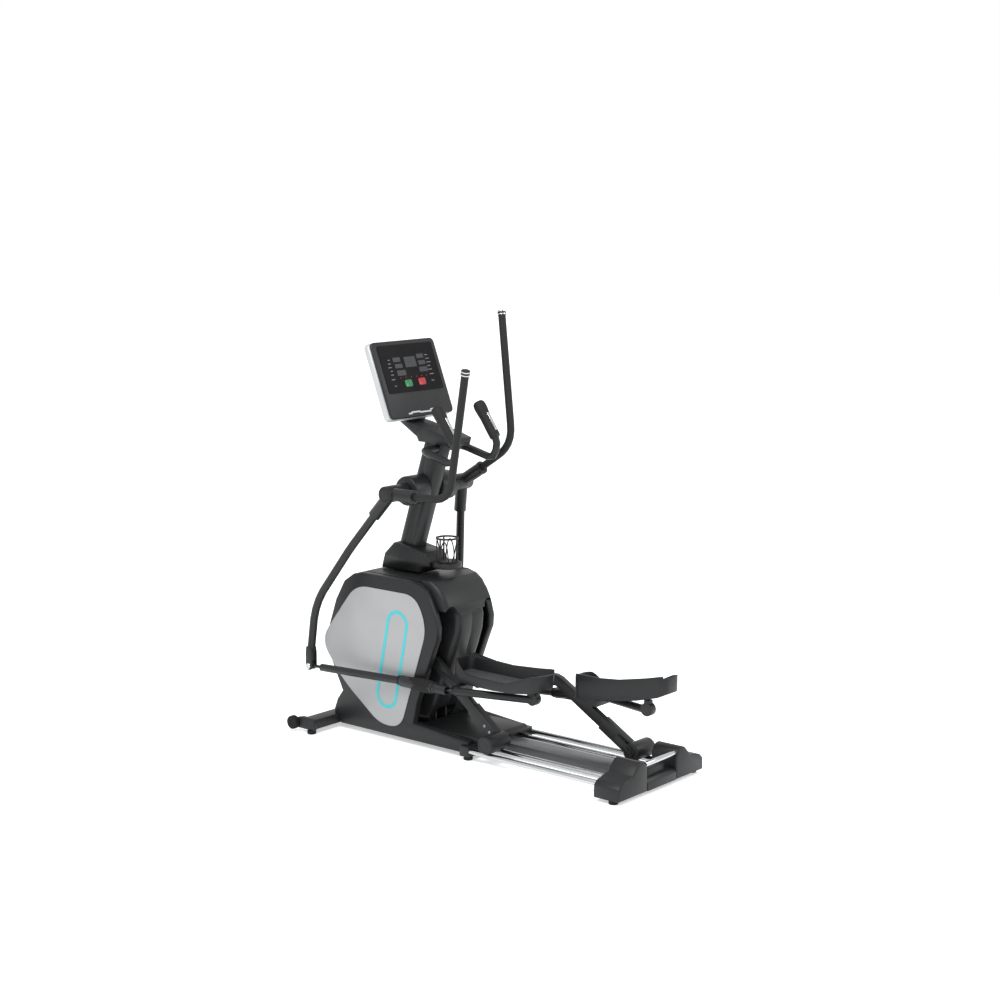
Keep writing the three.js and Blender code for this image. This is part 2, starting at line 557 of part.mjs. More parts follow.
const handPedal = handed(() => {
  const hollowPlan = inset(PEDAL_PLAN, 7);
  const room = cut(
    planRound(hollowPlan, 150, 400),
    sidePlate([...TREAD.map(([x, z], i) => (i === 0 ? [-300, z - 7.7] : [x + (i === 2 ? 60 : 0), z + (i === 2 ? 28 : 0)])),
      [300, 100], [-300, 100]], -200, 0));
  const tall = sidePlate([...UNDERSIDE, ...WALL_TOP], -90, -42, 0);
  const low = sidePlate([...UNDERSIDE, ...LOW_WALL_TOP], -162, -60);
  return cut(join(tall, low), cut(box(-400, 400, -300, 100, 100, 500), planRound(PEDAL_PLAN, 90, 510)), room,
    sidePlate([...LOW_WALL_TOP, [-258, 420], [195, 420]], -140, -49, 0),
    rod([KNOB.x, -77, KNOB.z], [KNOB.x, -45, KNOB.z], 27.4, 24));
});
const handTread = handed(() => {
  const base = [...TREAD, [TREAD[2][0] - 1, TREAD[2][1] + 3], [27, 259], [-245.4, 221]];
  const lift = (points, rise) => points.map(([x, z]) => [x, z + rise]);
  const sheet = sidePlate(lift(base, FIT_GAP), -155.6, -48.4);
  const ribs = Array.from({ length: 9 }, (_, i) => {
    const y = -153 + i * 12;
    return sidePlate(lift(base, 2.6), y, y + 7);
  });
  return cut(join(sheet, ...ribs), cut(box(-400, 400, -300, 100, 100, 500),
    planRound(inset(PEDAL_PLAN, 7.6), 90, 510)));
});

const handCarriage = handed(() => cut(
  rod([0, -210, 0], [0, -92, 0], 38, 24), rod([0, -206, 0], [0, -96, 0], 34.8, 24),
  box(-50, 50, -220, -80, -60, -30), rod([0, -220, 0], [0, -80, 0], 8.6, 12)));
const handWheels = handed(() => join(
  ...Object.values(RAIL.planes).map((y) => rod([0, -y - 10, 0], [0, -y + 10, 0], ROLLER_RADIUS, 20)),
  rod([0, -209, 0], [0, -86, 0], 8, 12)));

for (const [word, side] of Object.entries(SIDES)) {
  const half = HALVES[word];
  const carriage = groupAt(half.axle);
  place(carriage, `carriage_${word}`, handCarriage(side), charcoalPlastic);
  place(carriage, `carriage_wheels_${word}`, handWheels(side), blackPlastic);
  const bar = groupAt(half.axle, half.barTurn);
  place(bar, `pedal_bar_${word}`, handBar(side), charcoalPaint);
  place(bar, `pedal_${word}`, handPedal(side), charcoalPlastic);
  place(bar, `pedal_tread_${word}`, handTread(side), finish(0x55575a, 0.7));
  place(groupAt(half.linkPivot, half.linkAngle), `link_rod_${word}`, handLink(side), charcoalPaint);
}

// ---- console, neck and fixed handlebar -----------------------------------------------------------

// In the console's own frame x is out of its face, y to the right and z up the face.
const consoleGroup = groupAt(CONSOLE, CONSOLE.tilt);
place(consoleGroup, 'console_back', frontPlate(roundedRectangle(CONSOLE.halfWidth, CONSOLE.halfHeight, 22, 4), -48, -14.4, 10),
  silverPlastic);
place(consoleGroup, 'console_front', 
  frontPlate(roundedRectangle(CONSOLE.halfWidth - 3, CONSOLE.halfHeight - 3, 20, 4), -14, 0, 4), charcoalPlastic);
const buttons = { start: { y: -37, z: -22 }, stop: { y: 46, z: -20 } };
const windowHoles = Object.values(buttons).map(({ y, z }) => box(0, 5, y - 21.4, y + 21.4, z - 15.4, z + 15.4));
place(consoleGroup, 'console_screen', cut(
  frontPlate(roundedRectangle(167, 103, 8), 0.4, 2.6).translate(0, 0, 44), ...windowHoles), screenGlass);
const key = ({ y, z }) => frontPlate(roundedRectangle(21, 15, 6), 1.2, 4.2).translate(0, y, z);
place(consoleGroup, 'start_button', key(buttons.start), finish(0x2fae57, 0.4));
place(consoleGroup, 'stop_button', key(buttons.stop), finish(0xc8322f, 0.4));

place(trainer, 'neck_and_tray', join(
  sidePlate([[-354, 1262], [-363, 1281], [-458, 1338], [-470, 1384], [-444.5, 1395.4], [-423.2, 1340.4],
    [-396, 1336], [-330, 1322], [-300, 1300], [-250, 1262]], -60, 60),
  sidePlate([[-330, 1262.4], [-236, 1262.2], [-180, 1251], [-170, 1283], [-245, 1306], [-330, 1320]],
    -62, 62)), charcoalPlastic);

const GRIP = { low: [-98, 1283], high: [-180, 1402] };
function buildHandlebar() {
  const halves = [-1, 1].map((side) => bentTube([[BAR_CROSS.x, 0, BAR_CROSS.z], [BAR_CROSS.x, side * 122, BAR_CROSS.z],
    [-105, side * 127, 1191.5], [-84, side * 130, 1262.7], [GRIP.high[0], side * 130, GRIP.high[1]]],
  BAR_CROSS.radius, [30, 35, 32], 10, 28));
  return join(...halves);
}
const gripSleeves = [-130, 130].map((y) => rod(
  [GRIP.low[0], y, GRIP.low[1]], [GRIP.high[0] - 9, y, GRIP.high[1] + 13], 22, 24));
place(trainer, 'fixed_handlebar', join(buildHandlebar(), ...gripSleeves), charcoalPaint);

export default trainer;
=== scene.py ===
import json
import math

import bpy
from mathutils import Matrix, Vector

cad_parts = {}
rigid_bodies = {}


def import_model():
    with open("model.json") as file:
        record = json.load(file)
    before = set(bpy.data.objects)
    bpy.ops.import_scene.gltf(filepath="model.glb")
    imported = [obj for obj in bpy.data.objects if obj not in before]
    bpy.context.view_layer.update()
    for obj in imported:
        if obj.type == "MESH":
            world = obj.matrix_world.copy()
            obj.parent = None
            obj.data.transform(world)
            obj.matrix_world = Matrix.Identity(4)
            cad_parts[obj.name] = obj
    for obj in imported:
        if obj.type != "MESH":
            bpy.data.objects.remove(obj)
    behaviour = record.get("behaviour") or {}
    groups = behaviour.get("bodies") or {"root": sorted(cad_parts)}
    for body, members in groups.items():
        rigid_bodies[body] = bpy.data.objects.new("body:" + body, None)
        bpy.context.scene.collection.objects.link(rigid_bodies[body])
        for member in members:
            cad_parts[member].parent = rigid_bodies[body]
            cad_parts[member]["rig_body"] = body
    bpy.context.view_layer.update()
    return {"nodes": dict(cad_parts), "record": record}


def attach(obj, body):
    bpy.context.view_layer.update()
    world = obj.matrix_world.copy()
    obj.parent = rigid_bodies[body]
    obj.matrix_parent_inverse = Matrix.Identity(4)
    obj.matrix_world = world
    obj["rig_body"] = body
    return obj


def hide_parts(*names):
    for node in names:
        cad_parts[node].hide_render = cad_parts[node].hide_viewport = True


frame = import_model()

# ---- camera, light and floor -----------------------------------------------------------------
# A white studio: a pale floor under the machine, one broad lamp above it to the user's left, and a
# weaker one behind it to the right. The floor glows a little, to stay as white as the room round it.

view_heading = math.radians(39.81)
view_pitch = math.radians(9.41)
camera_data = bpy.data.cameras.new("camera")
camera_data.lens = 69.1
camera_data.sensor_width = 36
camera = bpy.data.objects.new("camera", camera_data)
camera.location = (4.950, -5.897, 2.322)
camera.rotation_euler = (math.pi / 2 - view_pitch, 0, view_heading)
bpy.context.scene.collection.objects.link(camera)
bpy.context.scene.camera = camera
bpy.context.scene.view_settings.view_transform = "Standard"

world = bpy.data.worlds.new("studio")
world.use_nodes = True
world.node_tree.nodes["Background"].inputs["Color"].default_value = (1, 1, 1, 1)
world.node_tree.nodes["Background"].inputs["Strength"].default_value = 1.0
bpy.context.scene.world = world


def softbox(name, place, aim, size, watts):
    lamp = bpy.data.lights.new(name, "AREA")
    lamp.shape = "SQUARE"
    lamp.size = size
    lamp.energy = watts
    lamp_object = bpy.data.objects.new(name, lamp)
    lamp_object.location = place
    lamp_object.rotation_euler = (Vector(aim) - Vector(place)).to_track_quat("-Z", "Y").to_euler()
    bpy.context.scene.collection.objects.link(lamp_object)


softbox("key_light", (0.5, -2.6, 4.2), (-0.1, 0, 0.7), 1.8, 110)
softbox("rear_light", (3.4, 2.2, 3.0), (0, 0, 0.7), 1.6, 45)

floor_side, floor_height = 60, -0.0005
bpy.ops.object.select_all(action="DESELECT")
bpy.ops.mesh.primitive_plane_add(size=floor_side, location=(0, 0, floor_height))
floor = bpy.context.object
floor.name = "floor"
floor_paint = bpy.data.materials.new("floor_paint")
floor_paint.use_nodes = True
for socket, value in (("Base Color", (0.93, 0.94, 0.95, 1)), ("Roughness", 0.9),
                      ("Emission Color", (1, 1, 1, 1)), ("Emission Strength", 0.45)):
    floor_paint.node_tree.nodes["Principled BSDF"].inputs[socket].default_value = value
floor.data.materials.append(floor_paint)

# ---- welded frame: stabiliser, spine, mast ---------------------------------------------------
# Steel tube and plate, welded and powder coated in satin charcoal.
# The coat has a fine orange peel, and its shade and gloss drift a little from place to place.


class Wire:
    """A value on its way between two nodes of a finish."""

    def __init__(self, finish, socket):
        self.finish = finish
        self.socket = socket

    def worked(self, operation, first, second):
        return self.finish.node("ShaderNodeMath", {"operation": operation}, {0: first, 1: second})

    def __add__(self, other):
        return self.worked("ADD", self, other)

    __radd__ = __add__

    def __sub__(self, other):
        return self.worked("SUBTRACT", self, other)

    def __rsub__(self, other):
        return self.worked("SUBTRACT", other, self)

    def __mul__(self, other):
        return self.worked("MULTIPLY", self, other)

    __rmul__ = __mul__


class Finish:
    """One procedural finish, built around a Principled shader."""

    def __init__(self, name, **constants):
        self.material = bpy.data.materials.new(name)
        self.material.use_nodes = True
        self.tree = self.material.node_tree
        self.shader = self.tree.nodes["Principled BSDF"]
        for socket, value in constants.items():
            self.shader.inputs[socket.replace("_", " ")].default_value = value
        self.place = self.node("ShaderNodeTexCoord", out="Object")

    def node(self, kind, settings=None, sockets=None, out=0):
        made = self.tree.nodes.new(kind)
        for key, value in (settings or {}).items():
            setattr(made, key, value)
        for key, value in (sockets or {}).items():
            if isinstance(value, Wire):
                self.tree.links.new(value.socket, made.inputs[key])
            else:
                made.inputs[key].default_value = value
        return Wire(self, made.outputs[out])

    def noise(self, scale, detail=2.0):
        return self.node("ShaderNodeTexNoise", {}, {"Vector": self.place, "Scale": scale, "Detail": detail})

    def blend(self, amount, low, high):
        return self.node("ShaderNodeMix", {"data_type": "RGBA"}, {0: amount, 6: low, 7: high}, out=2)

    def feed(self, socket, wire):
        self.tree.links.new(wire.socket, self.shader.inputs[socket])

    def bumped(self, height, strength, distance):
        self.feed("Normal", self.node(
            "ShaderNodeBump", {}, {"Height": height, "Strength": strength, "Distance": distance}))


def grained(name, dark, light, rough, spread, grain_scale, grain_depth, **constants):
    """A finish whose colour and gloss drift a little, over a fine raised grain."""
    made = Finish(name, **constants)
    drift = made.noise(9.0, 4.0)
    made.feed("Base Color", made.blend(drift, (*dark, 1), (*light, 1)))
    made.feed("Roughness", rough + spread * (drift - 0.5))
    made.bumped(made.noise(grain_scale, 1.0), 0.25, grain_depth)
    return made.material


slots = {part["node"]: part["material_slot"] for part in frame["record"]["subparts"]}
paints = {
    "charcoal_paint": grained("charcoal_paint", (0.009, 0.0095, 0.0105), (0.016, 0.0165, 0.0175), 0.38,
                              0.16, 900.0, 0.0002, Specular_IOR_Level=0.3),
}
weld_distance, flat_angle = 0.00002, math.radians(1.0)


def placed(piece, body, slot):
    """Puts a piece on its moving body and gives it the finish of a slot."""
    piece.data.materials.clear()
    piece.data.materials.append(paints[slot])
    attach(piece, body)
    return piece


def smoothed(piece, angle=38):
    bpy.ops.object.select_all(action="DESELECT")
    piece.select_set(True)
    bpy.context.view_layer.objects.active = piece
    bpy.ops.object.shade_smooth_by_angle(angle=math.radians(angle))
    return piece


def dressed(node, edge=0.002, angle=40):
    """A finished piece over a plain CAD node: the same shape with its hard edges eased."""
    bare = frame["nodes"][node]
    bpy.ops.object.select_all(action="DESELECT")
    piece = bpy.data.objects.new(node + "_finished", bare.data.copy())
    bpy.context.scene.collection.objects.link(piece)
    piece.select_set(True)
    bpy.context.view_layer.objects.active = piece
    bpy.ops.object.mode_set(mode="EDIT")
    bpy.ops.mesh.select_all(action="SELECT")
    bpy.ops.mesh.remove_doubles(threshold=weld_distance)
    bpy.ops.mesh.dissolve_limited(angle_limit=flat_angle)
    bpy.ops.object.mode_set(mode="OBJECT")
    if edge:
        bevel = piece.modifiers.new("eased", "BEVEL")
        bevel.width = edge
        bevel.segments = 2
        bevel.limit_method = "ANGLE"
        bevel.angle_limit = math.radians(angle)
        bevel.harden_normals = False
        bpy.ops.object.modifier_apply(modifier=bevel.name)
    smoothed(piece)
    placed(piece, bare["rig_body"], slots[node])
    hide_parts(node)
    return piece


for node in ("front_stabiliser", "base_frame"):
    dressed(node)
dressed("mast", 0.0015)

# ---- base deck, end caps, transport wheels and feet ------------------------------------------
# Moulded charcoal covers with a fine spark-eroded grain, pushed onto the tube ends;
# rubber wheels on stub axles, and screw-in rubber feet.

paints["charcoal_plastic"] = grained("charcoal_plastic", (0.008, 0.0085, 0.0095),
                                     (0.013, 0.0135, 0.0145), 0.42, 0.12, 1400.0, 0.0003,
                                     Specular_IOR_Level=0.3)
paints["black_rubber"] = grained("black_rubber", (0.005, 0.005, 0.005), (0.010, 0.010, 0.010), 0.78, 0.10,
                                 500.0, 0.0004, Specular_IOR_Level=0.25)
both = ("left", "right")
dressed("base_deck", 0.004)
dressed("rear_stabiliser", 0.003)
for side in both:
    dressed(f"front_end_cap_{side}", 0.002)
    dressed(f"rear_end_cap_{side}", 0.0025, 30)
    dressed(f"transport_wheel_{side}", 0.002)
    for end in ("front", "middle", "rear"):
        dressed(f"{end}_foot_{side}", 0.002)

# ---- rails, centre beam and carry rod --------------------------------------------------------
# Four chromed steel tubes carry the rollers; between them runs a grey painted beam.
# The rear rod lifts the machine onto its front wheels.

chrome = Finish("chrome", Metallic=1.0, Base_Color=(0.50, 0.51, 0.52, 1))
chrome.feed("Roughness", 0.10 + 0.12 * chrome.noise(30.0, 3.0))
paints["chrome"] = chrome.material
paints["grey_paint"] = grained("grey_paint", (0.040, 0.042, 0.044), (0.060, 0.062, 0.065), 0.34, 0.16,
                               900.0, 0.0002)
dressed("centre_beam", 0.004)
for side in both:
    dressed(f"inner_rail_{side}", 0.001)
    dressed(f"outer_rail_{side}", 0.001)
dressed("carry_rod", 0.001)

# ---- housing ---------------------------------------------------------------------------------
# Moulded plastic: two large side covers with grey inserts, a wrap over the nose and roof that comes
# down behind as a brow, and a centre shroud in two halves.
# A pale cyan line in the shape of a leaning slot is inlaid in each insert.

paints["panel_grey"] = grained("panel_grey", (0.270, 0.275, 0.280), (0.315, 0.320, 0.325), 0.38, 0.10,
                               1500.0, 0.0002)
paints["cyan_inlay"] = grained("cyan_inlay", (0.015, 0.36, 0.40), (0.030, 0.45, 0.49), 0.35, 0.08,
                               1200.0, 0.0001)
for side in both:
    dressed(f"side_cover_{side}", 0.003, 35)
    dressed(f"side_panel_{side}", 0.0012)
    dressed(f"shroud_{side}", 0.003, 35)
dressed("wrap_cover", 0.004, 35)

outward = {"left": -1, "right": 1}
line_radius, line_width, line_straight, line_lean = 0.060, 0.014, 0.316, math.radians(11.5)
line_foot_x, line_foot_z, line_plane, line_thickness = -0.4275, 0.196, 0.18865, 0.0009
for side, out in outward.items():
    bpy.ops.object.select_all(action="DESELECT")
    bpy.ops.mesh.primitive_circle_add(vertices=48, radius=line_radius, fill_type="NGON",
                                      rotation=(math.pi / 2, 0, 0))
    line = bpy.context.object
    line.name = f"panel_line_{side}"
    bpy.ops.object.transform_apply(location=False, rotation=True, scale=False)
    for vertex in line.data.vertices:
        if vertex.co.z > 0.001:
            vertex.co.z += line_straight
    bpy.ops.object.mode_set(mode="EDIT")
    bpy.ops.mesh.select_all(action="SELECT")
    bpy.ops.mesh.inset(thickness=line_width)
    bpy.ops.mesh.delete(type="FACE")
    bpy.ops.object.mode_set(mode="OBJECT")
    line.data.transform(Matrix.Rotation(line_lean, 4, "Y"))
    line.data.transform(Matrix.Translation((line_foot_x, out * line_plane, line_foot_z)))
    thick = line.modifiers.new("thick", "SOLIDIFY")
    thick.thickness = line_thickness
    thick.offset = 0
    bpy.ops.object.modifier_apply(modifier=thick.name)
    bpy.ops.object.mode_set(mode="EDIT")
    bpy.ops.mesh.select_all(action="SELECT")
    bpy.ops.mesh.normals_make_consistent(inside=False)
    bpy.ops.object.mode_set(mode="OBJECT")
    line.data.materials.clear()
    line.data.materials.append(paints["cyan_inlay"])
    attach(line, "frame")

# ---- drive inside the housing ----------------------------------------------------------------
# Two crank arms on a machined shaft that carries a pulley, and a flywheel behind them.
# All are bare steel, and only glimpses of them show through the slots.

steel = Finish("steel", Metallic=0.85, Base_Color=(0.26, 0.27, 0.28, 1))
steel.feed("Roughness", 0.30 + 0.15 * steel.noise(60.0, 4.0))
steel.bumped(steel.noise(300.0, 2.0), 0.15, 0.0002)
paints["steel"] = steel.material
dressed("crank", 0.0015)
dressed("flywheel", 0.001)

# ---- mast base cover and bottle cage ----------------------------------------------------------
# A moulded charcoal collar hides the mast's root and carries a round shelf behind it.
# A black cage stands on the shelf: a round floor, a rim on three posts, and four loops of bent wire.

paints["black_plastic"] = grained("black_plastic", (0.004, 0.004, 0.005), (0.008, 0.008, 0.009), 0.45,
                                  0.12, 1200.0, 0.0002, Specular_IOR_Level=0.35)
dressed("mast_base_cover", 0.006, 30)
dressed("bottle_cage", 0.0008)
cage_middle, cage_floor, wire_radius = -0.252, 0.764, 0.0026
loop_count, first_loop = 4, 20
# Each point of a loop: its distance from the cage's middle, its bearing in degrees, and its height.
loop_path = [(0.036, -32, 0.0), (0.042, -24, 0.030), (0.0435, -10, 0.068), (0.044, 6, 0.090),
             (0.0435, 20, 0.066), (0.042, 26, 0.030), (0.036, 30, 0.0)]
for count in range(loop_count):
    turn = math.radians(first_loop + 360 / loop_count * count)
    curve = bpy.data.curves.new(f"cage_loop_{count}", "CURVE")
    curve.dimensions = "3D"
    curve.bevel_depth, curve.bevel_resolution, curve.resolution_u = wire_radius, 3, 5
    curve.use_fill_caps = True
    line_of_wire = curve.splines.new("NURBS")
    line_of_wire.points.add(len(loop_path) - 1)
    line_of_wire.use_endpoint_u = True
    line_of_wire.order_u = 3
    for point, (reach, degrees, rise) in zip(line_of_wire.points, loop_path):
        heading = turn + math.radians(degrees)
        point.co = (cage_middle + reach * math.cos(heading), reach * math.sin(heading),
                    cage_floor + rise, 1)
    loop = bpy.data.objects.new(f"cage_loop_{count}", curve)
    bpy.context.scene.collection.objects.link(loop)
    bpy.ops.object.select_all(action="DESELECT")
    loop.select_set(True)
    bpy.context.view_layer.objects.active = loop
    bpy.ops.object.convert(target="MESH")
    smoothed(loop)
    placed(loop, "frame", "black_plastic")

# ---- swing arms --------------------------------------------------------------------------------
# Each arm turns on the shaft through the mast: a hub with two sockets, a bent lower tube with
# a fork for the link, and a foam-covered handle that ends in a bright cap.

paints["foam"] = grained("foam", (0.007, 0.007, 0.0075), (0.012, 0.012, 0.0125), 0.68, 0.10,
                         700.0, 0.0006, Specular_IOR_Level=0.3)
dressed("pivot_shaft", 0.0008)


def turned_at(x, z, turn):
    """The frame of a part that is turned by an angle about a point of the side view."""
    return Matrix.Translation((x, 0, z)) @ Matrix.Rotation(-turn, 4, "Y")


def settled(piece, name, where, body, slot, angle=35):
    """Puts a piece modelled about its own origin in its place, and finishes it."""
    piece.name = name
    piece.data.name = name
    bpy.ops.object.transform_apply(location=True, rotation=True, scale=True)
    piece.data.transform(where)
    piece.data.update()
    smoothed(piece, angle)
    return placed(piece, body, slot)


def lathed(name, profile, start, end, where, body, slot, sides=32, squeeze=1.0):
    """A round piece drawn out ring by ring along the line from start to end."""
    start, end = Vector(start), Vector(end)
    bpy.ops.object.select_all(action="DESELECT")
    radius, height = profile[0]
    bpy.ops.mesh.primitive_circle_add(vertices=sides, radius=radius, fill_type="NGON",
                                      location=(0, 0, height))
    piece = bpy.context.object
    bpy.ops.object.mode_set(mode="EDIT")
    bpy.ops.mesh.select_all(action="SELECT")
    for next_radius, next_height in profile[1:]:
        bpy.ops.mesh.extrude_region_move(TRANSFORM_OT_translate={"value": (0, 0, next_height - height)})
        grow = next_radius / radius
        bpy.ops.transform.resize(value=(grow, grow, 1))
        radius, height = next_radius, next_height
    bpy.ops.mesh.select_all(action="SELECT")
    bpy.ops.mesh.normals_make_consistent(inside=False)
    bpy.ops.object.mode_set(mode="OBJECT")
    aim = (end - start).to_track_quat("Z", "Y").to_matrix().to_4x4()
    aimed = Matrix.Scale(squeeze, 4, (0, 1, 0)) @ aim
    return settled(piece, name, where @ Matrix.Translation(start) @ aimed, body, slot)


pivot = (-0.362, 1.061)
arm_turns = {"left": 0.0, "right": 0.56233}
# Each ring of a lathed piece: its radius, and its distance along the axis.
cap_rings = [(0.0182, 0.0), (0.0192, 0.001), (0.0192, 0.005), (0.0150, 0.007), (0.0150, 0.011),
             (0.0188, 0.0135), (0.0188, 0.0175), (0.0165, 0.0185), (0.0120, 0.0188)]
bolt_head = [(0.0125, 0.0), (0.0125, 0.0025), (0.0110, 0.0045), (0.0060, 0.0050), (0.0052, 0.0036)]
clamp_ring = [(0.0272, 0.0), (0.0286, 0.0012), (0.0286, 0.0100), (0.0272, 0.0112)]
hub_lid = [(0.0345, 0.0), (0.0340, 0.0022), (0.0270, 0.0030), (0.0262, 0.0018), (0.0240, 0.0018),
           (0.0230, 0.0034), (0.0080, 0.0046)]
for side, out in outward.items():
    arm_place = turned_at(*pivot, arm_turns[side])
    arm = f"arm_{side}"
    dressed(f"pivot_cover_{side}", 0.006)
    dressed(f"swing_arm_{side}", 0.0012, 44)
    dressed(f"moving_handle_{side}", 0.001, 46)
    lathed(f"handle_cap_{side}", cap_rings, (0.4933, out * 0.3252, 0.5268), (0.4990, out * 0.3282, 0.5450),
           arm_place, arm, "chrome")
    lathed(f"handle_clamp_{side}", clamp_ring, (0.122, out * 0.2247, 0), (0.14, out * 0.22507, 0),
           arm_place, arm, "charcoal_paint")
    lathed(f"hub_lid_{side}", hub_lid, (0, out * 0.2575, 0), (0, out * 0.28, 0), arm_place, arm,
           "black_plastic")
    lathed(f"fork_bolt_{side}", bolt_head, (-0.430, out * 0.2878, -0.782), (-0.430, out * 0.30, -0.782),
           arm_place, arm, "chrome")

# ---- links, pedal bars, pedals and carriages ----------------------------------------------------
# Painted tube bars carry moulded pedals with ribbed grey treads, and each rolls on two black rollers
# under a plastic hood. A link with a rubber boot and a collar joins each bar to its swing arm.

paints["tread_grey"] = grained("tread_grey", (0.052, 0.053, 0.056), (0.078, 0.080, 0.083), 0.50, 0.12,
                                600.0, 0.0004)
link_pivots = {"left": (-0.08708, 0.27990, 0.00127), "right": (0.39178, 0.24779, 0.11035)}
bar_axles = {"left": (0.13095, 0.083, -0.13895), "right": (0.63498, 0.083, 0.0)}
leg_angle = math.atan2(0.229, 0.384)
link_plane, sleeve_face, hood_face = 0.215, 0.1327, 0.2097
boot_rings = [(0.0176, 0.0), (0.0205, 0.006), (0.0212, 0.020), (0.0235, 0.060), (0.0268, 0.105),
              (0.0288, 0.140), (0.0286, 0.165), (0.0262, 0.188), (0.0236, 0.198), (0.0215, 0.200)]
boot_squeeze = 0.88
collar_rings = [(0.0205, 0.0), (0.0225, 0.0015), (0.0225, 0.008), (0.0205, 0.0095)]
small_bolt = [(0.0065, 0.0), (0.0065, 0.0022), (0.0052, 0.0032), (0.0030, 0.0032), (0.0028, 0.0018)]
hood_lid = [(0.0350, 0.0), (0.0345, 0.0016), (0.0300, 0.0022), (0.0292, 0.0010), (0.0120, 0.0010),
            (0.0110, 0.0020)]
for side, out in outward.items():
    dressed(f"carriage_{side}", 0.0012)
    dressed(f"carriage_wheels_{side}", 0.001)
    dressed(f"pedal_bar_{side}", 0.002)
    dressed(f"pedal_{side}", 0.003, 30)
    dressed(f"pedal_tread_{side}", 0.0008)
    dressed(f"link_rod_{side}", 0.001, 44)
    link_place = turned_at(*link_pivots[side])
    lathed(f"link_boot_{side}", boot_rings, (-0.250, out * link_plane, 0), (0, out * link_plane, 0),
           link_place, f"link_{side}", "black_rubber", squeeze=boot_squeeze)
    lathed(f"link_collar_{side}", collar_rings, (-0.048, out * link_plane, 0), (0, out * link_plane, 0),
           link_place, f"link_{side}", "charcoal_paint")
    bar_place = turned_at(*bar_axles[side])
    for which, distance in (("lower", 0.052), ("upper", 0.086)):
        spot = (-distance * math.cos(leg_angle), out * sleeve_face, distance * math.sin(leg_angle))
        lathed(f"sleeve_bolt_{which}_{side}", small_bolt, spot, (spot[0], out * 0.2, spot[2]), bar_place,
               f"bar_{side}", "steel", sides=16)
    carriage_place = turned_at(bar_axles[side][0], bar_axles[side][1], 0)
    lathed(f"hood_lid_{side}", hood_lid, (0, out * hood_face, 0), (0, out * 0.23, 0), carriage_place,
           f"carriage_{side}", "charcoal_plastic")

# ---- console, neck and fixed handlebar ----------------------------------------------------------
# A tilted slab clipped together from a silver back shell and a charcoal front, with a dark window, its
# readouts, lamps and printed dashes, and a green and a red key. It stands on a moulded neck with a tray,
# above a bent tube handlebar with foam grips and bright pulse sensors.

window = Finish("screen", Specular_IOR_Level=0.10)
smear = window.noise(14.0, 3.0)
window.feed("Base Color", window.blend(smear, (0.004, 0.004, 0.005, 1), (0.007, 0.007, 0.008, 1)))
window.feed("Roughness", 0.22 + 0.12 * smear)
paints["screen"] = window.material
for slot, dark, light in (("green", (0.005, 0.12, 0.034), (0.010, 0.17, 0.048)),
                          ("red", (0.26, 0.007, 0.009), (0.35, 0.012, 0.014))):
    paints[slot] = grained(slot + "_key", dark, light, 0.35, 0.1, 900.0, 0.0001)
paints["silver_plastic"] = grained("silver_plastic", (0.40, 0.41, 0.42), (0.47, 0.48, 0.49), 0.34, 0.10,
                                   1200.0, 0.0001, Metallic=0.3)
dressed("console_back", 0.004, 30)
dressed("console_front", 0.002, 30)
frame["nodes"]["console_screen"].data.materials.clear()
frame["nodes"]["console_screen"].data.materials.append(paints["screen"])
dressed("start_button", 0.0008)
dressed("stop_button", 0.0008)
paints["readout"] = grained("readout", (0.018, 0.019, 0.021), (0.027, 0.028, 0.030), 0.30, 0.10,
                            900.0, 0.0001)
paints["print_white"] = grained("print_white", (0.11, 0.11, 0.11), (0.17, 0.17, 0.17), 0.5, 0.1,
                                900.0, 0.0001)
console_tilt = math.radians(21.2)
console_place = turned_at(-0.437, 1.517, console_tilt)


def tile(name, across, up, rise, finish, slot, corner):
    """A flat plate on the console's face, with rounded corners."""
    (y0, y1), (z0, z1), (x0, x1) = across, up, rise
    bpy.ops.object.select_all(action="DESELECT")
    bpy.ops.mesh.primitive_cube_add(size=1, location=((x0 + x1) / 2, (y0 + y1) / 2, (z0 + z1) / 2),
                                    scale=(x1 - x0, y1 - y0, z1 - z0))
    piece = bpy.context.object
    bpy.ops.object.transform_apply(location=True, rotation=True, scale=True)
    bpy.ops.object.mode_set(mode="EDIT")
    bpy.ops.mesh.select_mode(type="EDGE")
    bpy.ops.mesh.select_all(action="DESELECT")
    bpy.ops.object.mode_set(mode="OBJECT")
    for edge in piece.data.edges:
        first, second = (piece.data.vertices[i].co for i in edge.vertices)
        edge.select = abs(first.x - second.x) > (x1 - x0) / 2
    bpy.ops.object.mode_set(mode="EDIT")
    bpy.ops.mesh.bevel(offset=corner, segments=4)
    bpy.ops.object.mode_set(mode="OBJECT")
    settled(piece, name, console_place, "frame", slot)
    piece.data.materials[0] = paints[finish]
    return piece


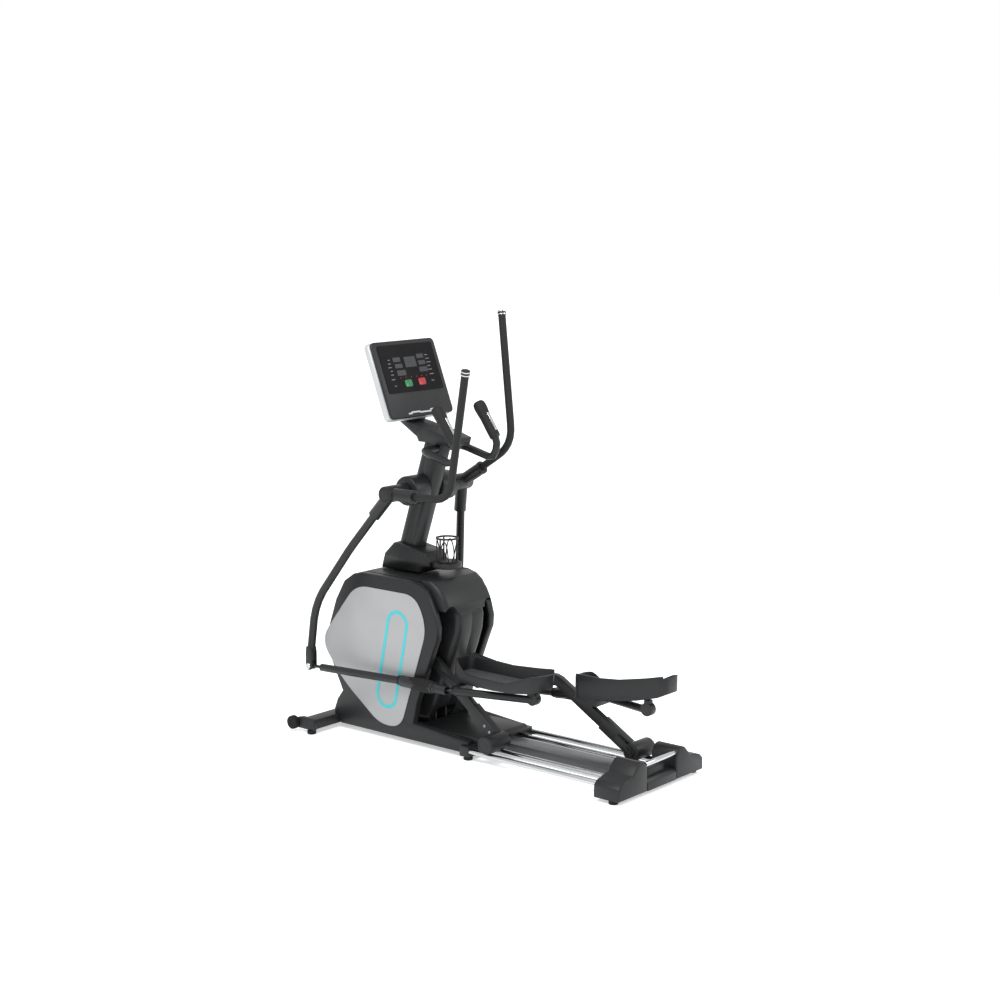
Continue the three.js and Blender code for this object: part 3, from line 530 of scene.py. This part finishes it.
glass, print_rise, lamp_rise = 0.0026, 0.0004, 0.0005
readouts = {
    "middle": ((-0.027, 0.041), (0.046, 0.091)),
    "left_top": ((-0.094, -0.050), (0.073, 0.092)), "left_centre": ((-0.090, -0.046), (0.046, 0.064)),
    "left_low": ((-0.088, -0.036), (0.013, 0.036)),
    "right_top": ((0.053, 0.095), (0.080, 0.099)), "right_centre": ((0.055, 0.097), (0.052, 0.070)),
    "right_low": ((0.050, 0.100), (0.021, 0.042)),
}
for name, (across, up) in readouts.items():
    tile(f"readout_{name}", across, up, (glass, glass + lamp_rise), "readout", "screen", 0.002)
mark_left_edge, mark_right_edge, mark_height = -0.112, 0.104, 0.0032
for row, height in enumerate((0.082, 0.066, 0.050, 0.034, 0.018, -0.002, -0.030)):
    reach = 0.012 + 0.004 * (row % 3)
    higher = height + 0.008
    tile(f"mark_left_{row}", (mark_left_edge - reach, mark_left_edge), (height, height + mark_height),
         (glass, glass + print_rise), "print_white", "screen", 0.0004)
    tile(f"mark_right_{row}", (mark_right_edge, mark_right_edge + reach + 0.006),
         (higher, higher + mark_height), (glass, glass + print_rise), "print_white", "screen", 0.0004)
lamp_size, lamp_pitch, lamp_foot = 0.0040, 0.032, 0.002
for count in range(6):
    lamp_y = -0.078 + lamp_pitch * count
    tile(f"lamp_{count}", (lamp_y, lamp_y + lamp_size), (lamp_foot, lamp_foot + lamp_size),
         (glass, glass + lamp_rise), "red", "red", 0.0006)
# Four overlapping strips at the slab's foot, each a hair thicker than the one before it.
trim_height, trim_thickness = 0.0065, 0.0030
trim = (((-0.088, -0.066), -0.1535), ((-0.070, -0.016), -0.1490), ((-0.020, 0.050), -0.1525),
        ((0.046, 0.104), -0.1455))
for count, (across, height) in enumerate(trim):
    tile(f"lip_trim_{count}", across, (height, height + trim_height), (0, trim_thickness + 0.0001 * count),
         "silver_plastic", "silver_plastic", 0.0024)
dressed("neck_and_tray", 0.008, 20)
dressed("fixed_handlebar", 0.001, 46)
grip_rings = [(0.0185, 0.0), (0.0225, 0.004), (0.0232, 0.030), (0.0232, 0.095), (0.0262, 0.128),
              (0.0268, 0.146), (0.0245, 0.160), (0.0185, 0.167), (0.0080, 0.169)]
grip_plane, sensor_size, sensor_lift, sensor_reach = 0.130, (0.014, 0.003, 0.084), 0.064, 0.0229
for side, out in outward.items():
    low, high = Vector((-0.098, out * grip_plane, 1.283)), Vector((-0.189, out * grip_plane, 1.415))
    lathed(f"pulse_grip_{side}", grip_rings, low, high, Matrix.Identity(4), "frame", "foam")
    along_grip = (high - low).normalized()
    square_on = along_grip.cross(Vector((0, 1, 0))).normalized()
    for name, push in (("rear", 1), ("front", -1)):
        middle = low + along_grip * sensor_lift + square_on * push * sensor_reach
        bpy.ops.object.select_all(action="DESELECT")
        bpy.ops.mesh.primitive_cube_add(size=1, scale=sensor_size)
        plate = bpy.context.object
        bpy.ops.object.transform_apply(location=True, rotation=True, scale=True)
        rounded = plate.modifiers.new("rounded", "BEVEL")
        rounded.width, rounded.segments = 0.0014, 3
        bpy.ops.object.modifier_apply(modifier=rounded.name)
        basis = Matrix((along_grip.cross(square_on), square_on, along_grip)).transposed().to_4x4()
        settled(plate, f"sensor_{name}_{side}", Matrix.Translation(middle) @ basis, "frame", "chrome")
